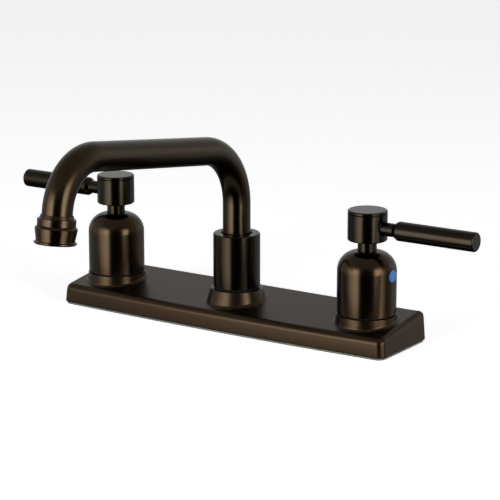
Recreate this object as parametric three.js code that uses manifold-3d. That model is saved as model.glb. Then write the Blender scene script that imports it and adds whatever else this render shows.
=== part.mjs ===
// Two handle kitchen faucet on a deck plate, in millimetres.
// X runs along the deck plate with the cold side at +X, +Y points to the back of the sink, +Z up.
// The origin lies on the spout's axis, on the deck surface that the base gasket rests on.
// At rest the spout points to the user (-Y) and both levers point outwards, which is closed.
import * as THREE from 'three';
import { mergeVertices } from 'three/addons/utils/BufferGeometryUtils.js';
import Module from 'manifold-3d';

const wasm = await Module();
wasm.setup();

// ---------------------------------------------------------------- driving dimensions
const handleSpacing = 203.2;     // between the two handle axes, the 8 inch standard
const fit = 0.3;                 // clearance between pieces that turn, slide or screw together
const shownSides = 32;           // sides of the round pieces that show
const innerSides = 16;           // sides of the round pieces inside or under the deck
const cordSides = 5;             // sides of an o-ring's cord

// deck plate: a hollow cast cover whose top falls towards the user
const coverLength = 258.6;       // at the foot
const coverFront = 29.3;         // foot, from the spout's axis to the front at mid length
const coverBack = 30.7;          // foot, from the spout's axis to the back
const coverBow = 2.8;            // the front edge curves back by this much at both ends
const coverWall = 2.4;
const coverDraft = 0.8;          // the sides lean in by this much
const coverCorner = 5.0;         // radius of the front upright corners
const coverBackCorner = 2.2;     // radius of the back ones
const coverEdge = 3.8;           // radius along the top edge
const coverHeight = 17.4;        // of the top face, over the deck, at the spout's axis
const coverSlope = 0.135;        // rise of the top face for each millimetre to the back
const gasketThickness = 1.3;
const gasketInset = 0.5;

// round bosses on the cover, one under each bell and one under the spout collar
const bellBossTop = 22.0;        // over the deck
const bellBossRadius = 19.8;     // at its top
const bellBossFlare = 0.07;      // growth in radius for each millimetre down
const spoutBossTop = 25.0;
const spoutBossRadius = 17.7;
const spoutBossFlare = 0.31;
const sealThickness = 1.2;       // black ring between a boss and what is screwed down on it

// bell: the thimble shaped cover over each valve
const bellRadius = 19.4;
const bellWall = 1.5;
const bellHeight = 40.7;
const bellDome = 13.0;           // radius of the rounded top
const indexRadius = 4.1;         // red or blue button in the bell's outer side
const indexDrop = 1.6;           // of its centre, under the start of the dome
const indexProud = 0.35;

// handle: a drum with a neck, a cap and a bar lever
const hubRadius = 12.9;
const hubHeight = 17.6;
const hubLift = 7.0;             // from the top of the bell to the underside of the drum
const neckRadius = 6.2;
const neckReach = 18.0;          // how far the neck goes down into the bell
const capThickness = 2.4;
const capEdge = 0.7;
const capPlug = 3.2;             // stub of the cap inside the drum
const leverRadius = 6.3;
const leverReach = 78.8;         // from the handle's axis to the end of the lever
const leverRise = 8.7;           // of the lever's axis, over the underside of the drum
const leverNeckRadius = 4.15;
const leverNeckEnd = 20.2;       // from the handle's axis
const leverTaper = 3.0;          // length of the cone from neck to grip
const leverEdge = 0.7;
const leverPocket = 4.0;         // depth of the counterbore that takes the lever's neck
const leverSpigotRadius = 3.0;
const leverSpigotLength = 3.0;

// valve: body, seat, ceramic discs, cartridge, stem and bonnet nut
const bodyWall = 3.6;
const bodyHeight = 36.6;
const bodyFloor = 3.2;           // thickness over the gasket
const shankPocket = 1.6;         // how far the shank goes up into the floor
const nutWall = 2.2;
const nutCap = 2.6;
const nutSkirt = 9.0;            // how far the bonnet nut reaches down over the body
const bodyShoulder = 15.6;       // height of the step in the bore, over the gasket
const shoulderWidth = 1.4;
const seatThickness = 1.8;
const seatWidth = 2.0;
const discRadius = 7.6;
const discThickness = 3.0;
const discPort = 2.6;            // radius of the half round water ways in the discs
const cartridgeWall = 1.4;
const stemFlange = 3.0;
const stemRadius = 4.7;
const splineRadius = 4.0;
const screwRadius = 2.2;
const screwHeadRadius = 4.5;
const screwHead = 2.6;
const screwLength = 14.0;
const hubFloor = 2.0;            // web in the drum that the handle screw pulls down on
const oringCord = 0.6;           // radius of the small o-rings

// supply shanks and what clamps the faucet to the deck
const shankRadius = 10.4;        // half inch pipe thread
const shankBore = 6.5;
const shankLength = 57.0;        // under the deck
const deckGrip = 34.0;           // thickest deck between gasket and washer
const washerRadius = 19.0;
const washerThickness = 1.6;
const lockNutFlats = 31.8;
const lockNutHeight = 10.0;

// water ways under the cover
const crossoverRadius = 4.5;
const crossoverBore = 3.4;
const crossoverHeight = 9.6;
const crossoverPocket = 2.2;     // how far each end goes into its body

// spout seat and collar
const collarRadius = 15.85;
const collarWall = 1.6;
const collarHeight = 36.4;
const collarLip = 3.0;
const spoutBodyWall = 2.1;
const spoutBodyTop = 44.0;
const spoutBodyFoot = 15.0;      // radius under the cover
const sleeveBottom = 14.0;
const sleeveSeat = 30.0;         // height at which the tube's end rests in the sleeve
const sleeveFlange = 3.0;
const thrustWasher = 1.2;
const spoutOringHeights = [18.0, 24.0];
const spoutOringCord = 0.7;

// spout tube: riser, bend, arm that rises to the outlet, bend down and outlet
const tubeRadius = 9.32;
const tubeWall = 1.2;
const riserBend = 41.3;          // centre line radius
const riserBendStart = 82.8;     // height over the deck
const armRise = 7.6;             // degrees over the horizontal
const armLength = 118.7;
const outletBend = 32.0;
const outletLean = 8.0;          // degrees that the outlet leans away from the riser
const outletStraight = 4.2;      // from the bend to the aerator's upper ring
const bendStep = 12.0;           // degrees of bend between two rings of the tube

// aerator, measured along the outlet's axis from the top of the upper ring
const adapterRadius = 11.7;
const adapterHeight = 4.2;
const adapterNeck = 2.2;         // short collar on the tube, over the ring
const adapterPocket = 3.2;       // how far the tube goes into the ring
const adapterThread = 4.0;       // length of the screw end inside the housing
const aeratorRadius = 12.95;
const aeratorWaist = 11.8;
const aeratorRim = 12.9;
const aeratorHeight = 10.8;
const aeratorGap = 0.4;          // joint between ring and housing
const aeratorWall = 1.7;
const aeratorLip = 1.3;          // width of the ledge that holds the insert
const aeratorWasher = 1.4;
const insertHeight = 3.4;
const screenThickness = 0.6;
const notchWidth = 2.4;
const notchHeight = 2.4;
const notchDepth = 0.7;

// ---------------------------------------------------------------- finishes
const finish = (name, color, roughness, metalness) =>
  new THREE.MeshStandardMaterial({ name, color, roughness, metalness });
const bronze = finish('oil_rubbed_bronze', 0x3a2d24, 0.34, 1.0);
const brass = finish('brass', 0xb0904c, 0.38, 1.0);
const steel = finish('stainless_steel', 0xa8aaac, 0.3, 1.0);
const rubber = finish('black_rubber', 0x161616, 0.8, 0.0);
const acetal = finish('white_acetal', 0xe4e2dc, 0.5, 0.0);
const ceramic = finish('alumina', 0xf1efe9, 0.25, 0.0);
const gasketFoam = finish('grey_gasket', 0xb6b6b0, 0.85, 0.0);
const hotRed = finish('hot_red', 0xb3261e, 0.35, 0.0);
const coldBlue = finish('cold_blue', 0x3a76c0, 0.35, 0.0);

// ---------------------------------------------------------------- solids
const group = new THREE.Group();

/** Closed mesh with merged corners and outward faces, from any three.js geometry. */
function cleaned(source) {
  const geometry = source.clone();
  for (const name of Object.keys(geometry.attributes)) {
    if (name !== 'position') geometry.deleteAttribute(name);
  }
  const merged = mergeVertices(geometry, 1e-4);
  const position = merged.attributes.position;
  const index = merged.index.array;
  const corners = [0, 1, 2].map(() => new THREE.Vector3());
  const faces = [];
  let volume = 0;
  for (let i = 0; i < index.length; i += 3) {
    const [a, b, c] = [index[i], index[i + 1], index[i + 2]];
    if (a === b || b === c || c === a) continue;
    [a, b, c].forEach((vertex, corner) => corners[corner].fromBufferAttribute(position, vertex));
    volume += corners[0].dot(corners[1].cross(corners[2]));
    faces.push([a, b, c]);
  }
  const ordered = volume < 0 ? faces.map(([a, b, c]) => [a, c, b]) : faces;
  merged.setIndex(ordered.flat());
  return merged;
}

function solid(source) {
  const geometry = cleaned(source);
  return new wasm.Manifold(new wasm.Mesh({
    numProp: 3,
    vertProperties: new Float32Array(geometry.attributes.position.array),
    triVerts: new Uint32Array(geometry.index.array),
  }));
}

function geometryOf(manifold) {
  const mesh = manifold.getMesh();
  const geometry = new THREE.BufferGeometry();
  geometry.setAttribute('position', new THREE.BufferAttribute(mesh.vertProperties, 3));
  geometry.setIndex(new THREE.BufferAttribute(mesh.triVerts, 1));
  return geometry;
}

function place(parent, name, manifold, material) {
  const mesh = new THREE.Mesh(geometryOf(manifold), material);
  mesh.name = name;
  parent.add(mesh);
  return mesh;
}

/** Turned piece about Z; the profile is a list of [radius, height]. */
function turned(profile, count = innerSides) {
  const closed = [...profile];
  if (profile[0][0] > 0) closed.push(profile[0]);
  const points = closed.map(([radius, height]) => new THREE.Vector2(radius, height));
  return solid(new THREE.LatheGeometry(points, count).rotateX(Math.PI / 2));
}

function ring(outer, inner, bottom, top, count = innerSides) {
  return turned([[inner, bottom], [outer, bottom], [outer, top], [inner, top]], count);
}

function rod(radius, bottom, top, count = innerSides) {
  return turned([[0, bottom], [radius, bottom], [radius, top], [0, top]], count);
}

/** Rod about the X axis, from one x to another, at a height. */
function crossRod(radius, from, to, height, count = innerSides) {
  const length = to - from;
  const cylinder = new THREE.CylinderGeometry(radius, radius, length, count).rotateZ(Math.PI / 2);
  return solid(cylinder.translate(from + length / 2, 0, height));
}

function block(x0, x1, y0, y1, z0, z1) {
  const box = new THREE.BoxGeometry(x1 - x0, y1 - y0, z1 - z0);
  return solid(box.translate((x0 + x1) / 2, (y0 + y1) / 2, (z0 + z1) / 2));
}

function oring(radius, cord, height) {
  const torus = new THREE.TorusGeometry(radius, cord, cordSides, innerSides);
  return solid(torus.translate(0, 0, height));
}

/** Arc of a profile in the (radius, height) plane, in degrees from the outward direction. */
function profileArc(centreRadius, centreHeight, radius, from, to, steps) {
  return Array.from({ length: steps + 1 }, (_, i) => {
    const angle = THREE.MathUtils.degToRad(from + ((to - from) * i) / steps);
    return [centreRadius + radius * Math.cos(angle), centreHeight + radius * Math.sin(angle)];
  });
}

// ---------------------------------------------------------------- deck plate
const coverTopAt = (y) => coverHeight + coverSlope * y;

/** Plan outline of the cover, drawn in by an inset: bowed front, straight ends and back. */
function coverOutline(inset) {
  const half = coverLength / 2 - inset;
  const back = coverBack - inset;
  const corner = coverCorner - Math.min(inset, coverCorner - 1);
  const backCorner = coverBackCorner - Math.min(inset, coverBackCorner - 1);
  const frontAt = (x) => -coverFront + inset + coverBow * (x / (coverLength / 2)) ** 2;
  const points = [];
  const backArc = (x, y, from) => {
    for (const step of [0, 1, 2, 3]) {
      const angle = THREE.MathUtils.degToRad(from + step * 30);
      points.push([x + backCorner * Math.cos(angle), y + backCorner * Math.sin(angle)]);
    }
  };
  const frontSteps = 10;
  for (let i = 0; i <= frontSteps; i += 1) {
    const x = (half - corner) * ((2 * i) / frontSteps - 1);
    points.push([x, frontAt(x)]);
  }
  const cornerY = frontAt(half - corner) + corner;
  for (const step of [1, 2, 3]) {
    const angle = THREE.MathUtils.degToRad(-90 + step * 30);
    points.push([half - corner + corner * Math.cos(angle), cornerY + corner * Math.sin(angle)]);
  }
  backArc(half - backCorner, back - backCorner, 0);
  backArc(-half + backCorner, back - backCorner, 90);
  for (const step of [0, 1, 2]) {
    const angle = THREE.MathUtils.degToRad(180 + step * 30);
    points.push([-half + corner + corner * Math.cos(angle), cornerY + corner * Math.sin(angle)]);
  }
  return points;
}

/** Solid through a stack of plan outlines; each level is [inset, height at a given y]. */
function stacked(levels) {
  const rings = levels.map(([inset, heightAt]) =>
    coverOutline(inset).map(([x, y]) => [x, y, heightAt(y)]));
  const count = rings[0].length;
  const positions = rings.flat(2);
  const index = [];
  for (let level = 0; level + 1 < rings.length; level += 1) {
    for (let i = 0; i < count; i += 1) {
      const a = level * count + i;
      const b = level * count + ((i + 1) % count);
      index.push(a, b, b + count, a, b + count, a + count);
    }
  }
  const last = (rings.length - 1) * count;
  for (let i = 1; i + 1 < count; i += 1) {
    index.push(0, i + 1, i, last, last + i, last + i + 1);
  }
  const geometry = new THREE.BufferGeometry();
  geometry.setAttribute('position', new THREE.Float32BufferAttribute(positions, 3));
  geometry.setIndex(index);
  return solid(geometry);
}

const gasketTop = gasketThickness;
const sides = [
  { name: 'hot', x: -handleSpacing / 2, turn: Math.PI, index: hotRed },
  { name: 'cold', x: handleSpacing / 2, turn: 0, index: coldBlue },
];

const bellInner = bellRadius - bellWall;
const nutOuter = bellInner - fit;
const nutInner = nutOuter - nutWall;
const bodyOuter = nutInner - fit;
const bodyBore = bodyOuter - bodyWall;
const bellBossBore = bodyOuter + 5 * fit;
const collarInner = collarRadius - collarWall;
const spoutBodyRadius = collarInner - fit;
const spoutBossBore = spoutBodyRadius + 2 * fit;

function deckCover() {
  const edge = [0, 30, 60, 90].map((degrees) => {
    const angle = THREE.MathUtils.degToRad(degrees);
    const inset = coverDraft + coverEdge * (1 - Math.cos(angle));
    return [inset, (y) => coverTopAt(y) - coverEdge * (1 - Math.sin(angle))];
  });
  const shell = stacked([[0, () => gasketTop], ...edge]);
  const cavity = stacked([
    [coverWall, () => gasketTop - 1],
    [coverWall + coverDraft + coverEdge / 2, (y) => coverTopAt(y) - coverWall],
  ]);
  const foot = coverTopAt(-coverFront);
  const boss = (x, radius, flare, top) => {
    const grown = radius + flare * (top - foot);
    const profile = [[0, foot], [grown, foot], [radius, top], [0, top]];
    return turned(profile, shownSides).translate(x, 0, 0);
  };
  let cover = shell.add(boss(0, spoutBossRadius, spoutBossFlare, spoutBossTop));
  for (const side of sides) {
    cover = cover.add(boss(side.x, bellBossRadius, bellBossFlare, bellBossTop));
  }
  cover = cover.subtract(cavity);
  cover = cover.subtract(rod(spoutBossBore, gasketTop, spoutBossTop + 1));
  for (const side of sides) {
    cover = cover.subtract(rod(bellBossBore, gasketTop, bellBossTop + 1).translate(side.x, 0, 0));
  }
  return cover;
}

function baseGasket() {
  let plate = stacked([[gasketInset, () => 0], [gasketInset, () => gasketTop]]);
  for (const side of sides) {
    plate = plate.subtract(rod(shankRadius + fit, -1, gasketTop + 1).translate(side.x, 0, 0));
  }
  return plate;
}

place(group, 'base_gasket', baseGasket(), gasketFoam);
place(group, 'deck_cover', deckCover(), bronze);

// ---------------------------------------------------------------- valve, bell and handle
const bodyTop = gasketTop + bodyHeight;
const floorTop = gasketTop + bodyFloor;
const shoulder = gasketTop + bodyShoulder;
const discBottom = floorTop + seatThickness;
const movingBottom = discBottom + discThickness;
const stemBottom = movingBottom + discThickness;
const cartridgeOuter = bodyBore - fit;
const cartridgeFoot = bodyBore - shoulderWidth - fit;
const cartridgeCavity = discRadius + fit;
const cavityTop = stemBottom + stemFlange + fit;
const bellBottom = bellBossTop + sealThickness;
const bellTop = bellBottom + bellHeight;
const indexHeight = bellTop - bellDome - indexDrop;
const hubBottom = bellTop + hubLift;
const hubTop = hubBottom + hubHeight;
const leverHeight = hubBottom + leverRise;
const webTop = leverHeight + leverSpigotRadius / 2;
const webBottom = webTop - hubFloor;
const stemTop = webBottom - fit;
const neckBottom = bellTop - neckReach;
const splineBottom = neckBottom - fit;
const screwPocket = screwHeadRadius + 2 * fit;

function valveBody() {
  const bore = bodyBore - shoulderWidth;
  let body = turned([
    [shankBore, gasketTop], [bodyOuter, gasketTop], [bodyOuter, bodyTop], [bodyBore, bodyTop],
    [bodyBore, shoulder], [bore, shoulder], [bore, floorTop], [shankBore, floorTop],
  ]);
  body = body.subtract(rod(shankRadius + fit, gasketTop - 1, gasketTop + shankPocket));
  const pocket = bodyOuter - crossoverPocket - fit;
  body = body.subtract(crossRod(crossoverRadius + fit, -bodyOuter - 1, -pocket, crossoverHeight));
  return body.subtract(crossRod(crossoverBore, -bodyOuter, -bore + 1, crossoverHeight));
}

function supplyShank() {
  return ring(shankRadius, shankBore, -shankLength, gasketTop + shankPocket);
}

function lockNut() {
  const across = lockNutFlats / Math.sqrt(3);
  const top = -deckGrip - washerThickness;
  const hexagon = new THREE.CylinderGeometry(across, across, lockNutHeight, 6);
  const nut = solid(hexagon.rotateX(Math.PI / 2).translate(0, 0, top - lockNutHeight / 2));
  return nut.subtract(rod(shankRadius + fit, top - lockNutHeight - 1, top + 1));
}

function deckWasher() {
  return ring(washerRadius, shankRadius + fit, -deckGrip - washerThickness, -deckGrip);
}

/** Two half round water ways, opposite each other, through a ceramic disc. */
function ceramicDisc(bottom, angle) {
  const top = bottom + discThickness;
  let disc = rod(discRadius, bottom, top);
  for (const sign of [-1, 1]) {
    const port = rod(discPort, bottom - 1, top + 1, 12);
    const offset = sign * (discRadius / 2);
    const [x, y] = [offset * Math.cos(angle), offset * Math.sin(angle)];
    disc = disc.subtract(port.translate(x, y, 0));
  }
  return disc;
}

function cartridgeBody() {
  const bore = stemRadius + fit;
  const groove = shoulder + (bodyTop - shoulder) / 2;
  const halfGroove = oringCord + fit / 2;
  const grooveDepth = 2 * oringCord + fit;
  let body = turned([
    [cartridgeCavity, discBottom], [cartridgeFoot, discBottom], [cartridgeFoot, shoulder],
    [cartridgeOuter, shoulder], [cartridgeOuter, groove - halfGroove],
    [cartridgeOuter - grooveDepth, groove - halfGroove],
    [cartridgeOuter - grooveDepth, groove + halfGroove],
    [cartridgeOuter, groove + halfGroove], [cartridgeOuter, bodyTop], [bore, bodyTop],
    [bore, cavityTop], [cartridgeCavity, cavityTop],
  ]);
  const windowWidth = discRadius;
  const reach = bodyBore;
  const [low, high] = [movingBottom, stemBottom];
  body = body.subtract(block(-reach, reach, -windowWidth / 2, windowWidth / 2, low, high));
  return { body, groove };
}

function stemPiece() {
  const flangeTop = stemBottom + stemFlange;
  const hole = screwRadius + fit;
  const holeBottom = webTop - screwLength - fit;
  const groove = bodyTop - 4 * oringCord;
  const halfGroove = oringCord + fit / 2;
  const grooved = stemRadius - 2 * oringCord + fit;
  const stem = turned([
    [0, stemBottom], [discRadius, stemBottom], [discRadius, flangeTop], [stemRadius, flangeTop],
    [stemRadius, groove - halfGroove], [grooved - fit, groove - halfGroove],
    [grooved - fit, groove + halfGroove], [stemRadius, groove + halfGroove],
    [stemRadius, splineBottom], [splineRadius, splineBottom], [splineRadius, stemTop],
    [hole, stemTop], [hole, holeBottom], [0, holeBottom],
  ]);
  return { stem, groove };
}

function bonnetNut() {
  const top = bodyTop + nutCap;
  return turned([
    [nutInner, bodyTop - nutSkirt], [nutOuter, bodyTop - nutSkirt], [nutOuter, top],
    [stemRadius + 2 * fit, top], [stemRadius + 2 * fit, bodyTop], [nutInner, bodyTop],
  ]);
}

function bell() {
  const domeCentre = bellTop - bellDome;
  const inner = bellDome - bellWall;
  const throat = neckRadius + fit;
  const outerArc = profileArc(bellRadius - bellDome, domeCentre, bellDome, 0, 90, 5);
  const innerArc = profileArc(bellRadius - bellDome, domeCentre, inner, 90, 0, 2);
  const shell = turned([[bellInner, bellBottom], [bellRadius, bellBottom], ...outerArc,
    [0, bellTop], [0, bellTop - bellWall], ...innerArc], shownSides);
  const hole = crossRod(indexRadius + fit, bellInner - bellWall, bellRadius + 1, indexHeight);
  return shell.subtract(rod(throat, domeCentre, bellTop + 1, shownSides)).subtract(hole);
}

/** Stepped button that is pushed out through the bell's wall from inside. */
function indexButton() {
  const face = bellRadius + indexProud;
  const step = bellInner - bellWall;
  const head = crossRod(indexRadius, step - bellWall / 2, face, indexHeight);
  return head.add(crossRod(indexRadius + 3 * fit, step - bellWall, step - fit, indexHeight));
}

function hub() {
  let body = turned([
    [0, neckBottom], [neckRadius, neckBottom], [neckRadius, hubBottom],
    [hubRadius - capEdge, hubBottom], [hubRadius, hubBottom + capEdge], [hubRadius, hubTop],
    [0, hubTop],
  ], shownSides);
  body = body.subtract(rod(splineRadius + fit, neckBottom - 1, webBottom));
  body = body.subtract(rod(screwRadius + fit, webBottom - 1, hubTop));
  body = body.subtract(rod(screwPocket, webTop, hubTop + 1));
  const pocket = hubRadius - leverPocket;
  const spigotEnd = pocket - leverSpigotLength;
  const reach = hubRadius + 1;
  body = body.subtract(crossRod(leverNeckRadius + 1.5 * fit, pocket, reach, leverHeight));
  const socket = crossRod(leverSpigotRadius + fit, spigotEnd, pocket + 1, leverHeight);
  return body.subtract(socket);
}

function hubCap() {
  const top = hubTop + capThickness;
  const plug = screwPocket - fit;
  return turned([
    [0, hubTop - capPlug], [plug, hubTop - capPlug], [plug, hubTop], [hubRadius, hubTop],
    [hubRadius, top - capEdge], [hubRadius - capEdge, top], [0, top],
  ], shownSides);
}

function handleScrew() {
  return turned([
    [0, webTop - screwLength], [screwRadius, webTop - screwLength], [screwRadius, webTop],
    [screwHeadRadius, webTop], [screwHeadRadius, webTop + screwHead], [0, webTop + screwHead],
  ]);
}

function lever() {
  const pocket = hubRadius - leverPocket + fit;
  const spigot = pocket - leverSpigotLength;
  const gripStart = leverNeckEnd + leverTaper;
  const bar = turned([
    [0, spigot], [leverSpigotRadius, spigot], [leverSpigotRadius, pocket],
    [leverNeckRadius, pocket], [leverNeckRadius, leverNeckEnd], [leverRadius, gripStart],
    [leverRadius, leverReach - leverEdge], [leverRadius - leverEdge, leverReach],
    [0, leverReach],
  ], shownSides);
  return bar.rotate([0, 90, 0]).translate(0, 0, leverHeight);
}

for (const side of sides) {
  const at = new THREE.Group();
  at.position.x = side.x;
  at.rotation.z = side.turn;
  group.add(at);
  const cartridge = cartridgeBody();
  const stem = stemPiece();
  const add = (piece, shape, material) => place(at, `${side.name}_${piece}`, shape, material);
  const seatInner = discRadius + fit / 2 - seatWidth;
  add('shank', supplyShank(), brass);
  add('deck_washer', deckWasher(), steel);
  add('lock_nut', lockNut(), brass);
  add('valve_body', valveBody(), brass);
  add('seat_seal', ring(discRadius + fit / 2, seatInner, floorTop, discBottom), rubber);
  add('fixed_disc', ceramicDisc(discBottom, 0), ceramic);
  add('moving_disc', ceramicDisc(movingBottom, Math.PI / 2), ceramic);
  add('cartridge_body', cartridge.body, brass);
  const cartridgeOring = cartridgeOuter - oringCord - fit / 2;
  add('cartridge_oring', oring(cartridgeOring, oringCord, cartridge.groove), rubber);
  add('stem', stem.stem, brass);
  add('stem_oring', oring(stemRadius - oringCord, oringCord, stem.groove), rubber);
  add('bonnet_nut', bonnetNut(), brass);
  add('bell_seal', ring(bellRadius - sealThickness, bellBossBore, bellBossTop, bellBottom), rubber);
  add('bell', bell(), bronze);
  add('index_button', indexButton(), side.index);
  add('hub', hub(), bronze);
  add('handle_screw', handleScrew(), steel);
  add('hub_cap', hubCap(), bronze);
  add('lever', lever(), bronze);
}

// ---------------------------------------------------------------- centre: spout seat and collar
const collarBottom = spoutBossTop + sealThickness;
const collarTop = collarBottom + collarHeight;
const spoutBore = spoutBodyRadius - spoutBodyWall;
const sleeveRadius = spoutBore - fit;
const tubeInner = tubeRadius - tubeWall;
const washerTop = spoutBodyTop + thrustWasher;
const flangeTop = washerTop + sleeveFlange;

function spoutBody() {
  const pocket = spoutBodyFoot - crossoverPocket - fit;
  const shoulderHeight = coverTopAt(0) - coverWall - 2 * fit;
  let body = turned([
    [0, gasketTop], [spoutBodyFoot - fit, gasketTop], [spoutBodyFoot - fit, gasketTop + 1],
    [spoutBodyFoot, gasketTop + 2], [spoutBodyFoot, shoulderHeight - 3],
    [spoutBodyRadius, shoulderHeight - 2], [spoutBodyRadius, spoutBodyTop],
    [spoutBore, spoutBodyTop], [spoutBore, sleeveBottom - fit],
    [tubeInner, sleeveBottom - fit], [tubeInner, gasketTop + bodyFloor],
    [0, gasketTop + bodyFloor],
  ]);
  for (const sign of [-1, 1]) {
    const outside = sign * (spoutBodyFoot + 1);
    const inside = sign * pocket;
    const [from, to] = [Math.min(outside, inside), Math.max(outside, inside)];
    body = body.subtract(crossRod(crossoverRadius + fit, from, to, crossoverHeight));
  }
  return body.subtract(crossRod(crossoverBore, -pocket - 1, pocket + 1, crossoverHeight));
}

function crossoverTube(side) {
  const inner = spoutBodyFoot - crossoverPocket;
  const outer = handleSpacing / 2 - bodyOuter + crossoverPocket;
  const tube = crossRod(crossoverRadius, inner, outer, crossoverHeight);
  const bore = crossRod(crossoverBore, inner - 1, outer + 1, crossoverHeight);
  return tube.subtract(bore).rotate([0, 0, THREE.MathUtils.radToDeg(side.turn)]);
}

function collar() {
  const lipBottom = collarTop - collarLip;
  return turned([
    [collarInner, collarBottom], [collarRadius, collarBottom], [collarRadius, collarTop - capEdge],
    [collarRadius - capEdge, collarTop], [tubeRadius + fit, collarTop],
    [tubeRadius + fit, lipBottom], [collarInner, lipBottom],
  ], shownSides);
}

function spoutSleeve() {
  const socket = tubeRadius + fit;
  const groove = sleeveRadius - 2 * spoutOringCord - fit;
  const half = spoutOringCord + fit / 2;
  const grooves = spoutOringHeights.flatMap((height) => [
    [sleeveRadius, height - half], [groove, height - half], [groove, height + half],
    [sleeveRadius, height + half]]);
  return turned([
    [tubeInner, sleeveBottom], [sleeveRadius, sleeveBottom], ...grooves,
    [sleeveRadius, washerTop], [spoutBodyRadius, washerTop], [spoutBodyRadius, flangeTop],
    [socket, flangeTop], [socket, sleeveSeat], [tubeInner, sleeveSeat],
  ]);
}

/** Centre line of the tube as rings: straight runs need only their ends, bends several. */
class SpoutPath extends THREE.Curve {
  constructor() {
    super();
    this.stations = [];
    let [y, z] = [0, sleeveSeat];
    let direction = 90;
    const note = () => {
      const angle = THREE.MathUtils.degToRad(direction);
      const tangent = new THREE.Vector3(0, -Math.cos(angle), Math.sin(angle));
      this.stations.push({ point: new THREE.Vector3(0, y, z), tangent });
    };
    const straight = (length) => {
      const angle = THREE.MathUtils.degToRad(direction);
      y -= length * Math.cos(angle);
      z += length * Math.sin(angle);
      note();
    };
    const bend = (radius, to) => {
      const steps = Math.ceil((direction - to) / bendStep);
      const turn = (direction - to) / steps;
      const chord = 2 * radius * Math.sin(THREE.MathUtils.degToRad(turn / 2));
      for (let i = 0; i < steps; i += 1) {
        const angle = THREE.MathUtils.degToRad(direction - turn / 2);
        y -= chord * Math.cos(angle);
        z += chord * Math.sin(angle);
        direction -= turn;
        note();
      }
    };
    note();
    straight(riserBendStart - sleeveSeat);
    bend(riserBend, armRise);
    straight(armLength);
    bend(outletBend, outletLean - 90);
    this.bendEnd = this.stations.at(-1).point.clone();
    straight(outletStraight + adapterPocket);
    this.down = this.stations.at(-1).tangent;
  }

  at(u) {
    return this.stations[Math.round(u * (this.stations.length - 1))];
  }

  getPoint(t, target = new THREE.Vector3()) {
    return target.copy(this.at(t).point);
  }

  getPointAt(u, target) {
    return this.getPoint(u, target);
  }

  getTangentAt(u, target = new THREE.Vector3()) {
    return target.copy(this.at(u).tangent);
  }

  getSpacedPoints() {
    return this.stations.map((station) => station.point.clone());
  }
}

function circle(radius, count) {
  const angles = Array.from({ length: count }, (_, i) => (2 * Math.PI * i) / count);
  return angles.map((angle) =>
    new THREE.Vector2(radius * Math.cos(angle), radius * Math.sin(angle)));
}

const spoutPath = new SpoutPath();

function spoutTube() {
  const section = new THREE.Shape(circle(tubeRadius, shownSides - 4));
  section.holes.push(new THREE.Path(circle(tubeInner, innerSides - 6)));
  const steps = spoutPath.stations.length - 1;
  return solid(new THREE.ExtrudeGeometry(section, {
    steps, extrudePath: spoutPath, bevelEnabled: false,
  }));
}

for (const side of sides) {
  place(group, `${side.name}_crossover_tube`, crossoverTube(side), brass);
}
place(group, 'spout_body', spoutBody(), brass);
const collarSealOuter = collarRadius - 0.8;
const collarSeal = ring(collarSealOuter, spoutBossBore, spoutBossTop, collarBottom);
place(group, 'spout_collar_seal', collarSeal, rubber);
place(group, 'spout_collar', collar(), bronze);
const thrustRing = ring(spoutBodyRadius, spoutBore, spoutBodyTop, washerTop);
place(group, 'spout_thrust_washer', thrustRing, acetal);
const bearing = ring(spoutBodyRadius, tubeRadius + fit, flangeTop, collarTop - collarLip);
place(group, 'spout_bearing', bearing, acetal);
place(group, 'spout_sleeve', spoutSleeve(), brass);
const spoutOringRadius = sleeveRadius - spoutOringCord;
spoutOringHeights.forEach((height, i) => {
  const name = ['spout_oring_lower', 'spout_oring_upper'][i];
  place(group, name, oring(spoutOringRadius, spoutOringCord, height), rubber);
});
place(group, 'spout_tube', spoutTube(), bronze);

// ---------------------------------------------------------------- aerator
// Built hanging down from its own origin, then leant out with the outlet.
const housingTop = -adapterHeight - aeratorGap;
const housingBottom = housingTop - aeratorHeight;
const threadOuter = aeratorWaist - aeratorWall - fit;
const threadBottom = -adapterHeight - adapterThread;
const washerBottom = threadBottom - aeratorWasher;
const insertRadius = threadOuter;
const screenTop = washerBottom;
const insertTop = screenTop - screenThickness;
const ledge = insertTop - insertHeight;

function tipAdapter() {
  const socket = tubeRadius + fit;
  return turned([
    [socket, adapterNeck], [socket + fit, adapterNeck], [socket + 3 * fit, 0],
    [adapterRadius, 0], [adapterRadius, -adapterHeight], [threadOuter, -adapterHeight],
    [threadOuter, threadBottom], [tubeInner - fit, threadBottom],
    [tubeInner - fit, -adapterPocket], [socket, -adapterPocket],
  ], shownSides);
}

function aeratorHousing() {
  const inner = threadOuter + fit;
  const rimTop = housingBottom + 2 * capEdge;
  let housing = turned([
    [inner, housingTop], [aeratorRadius - 1, housingTop], [aeratorRadius, housingTop - 1.2],
    [aeratorWaist, rimTop + 1.2], [aeratorWaist, rimTop + 0.6], [aeratorRim, rimTop],
    [aeratorRim, housingBottom + capEdge], [aeratorRim - capEdge, housingBottom],
    [inner - aeratorLip, housingBottom], [inner - aeratorLip, ledge], [inner, ledge],
  ], shownSides);
  for (const sign of [-1, 1]) {
    const centre = sign * (aeratorWaist + 1 - notchDepth);
    const [z0, z1] = [rimTop + 1.6, rimTop + 1.6 + notchHeight];
    const cut = block(-notchWidth / 2, notchWidth / 2, centre - 1, centre + 1, z0, z1);
    housing = housing.subtract(cut.rotate([0, 0, 31]));
  }
  return housing;
}

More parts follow.
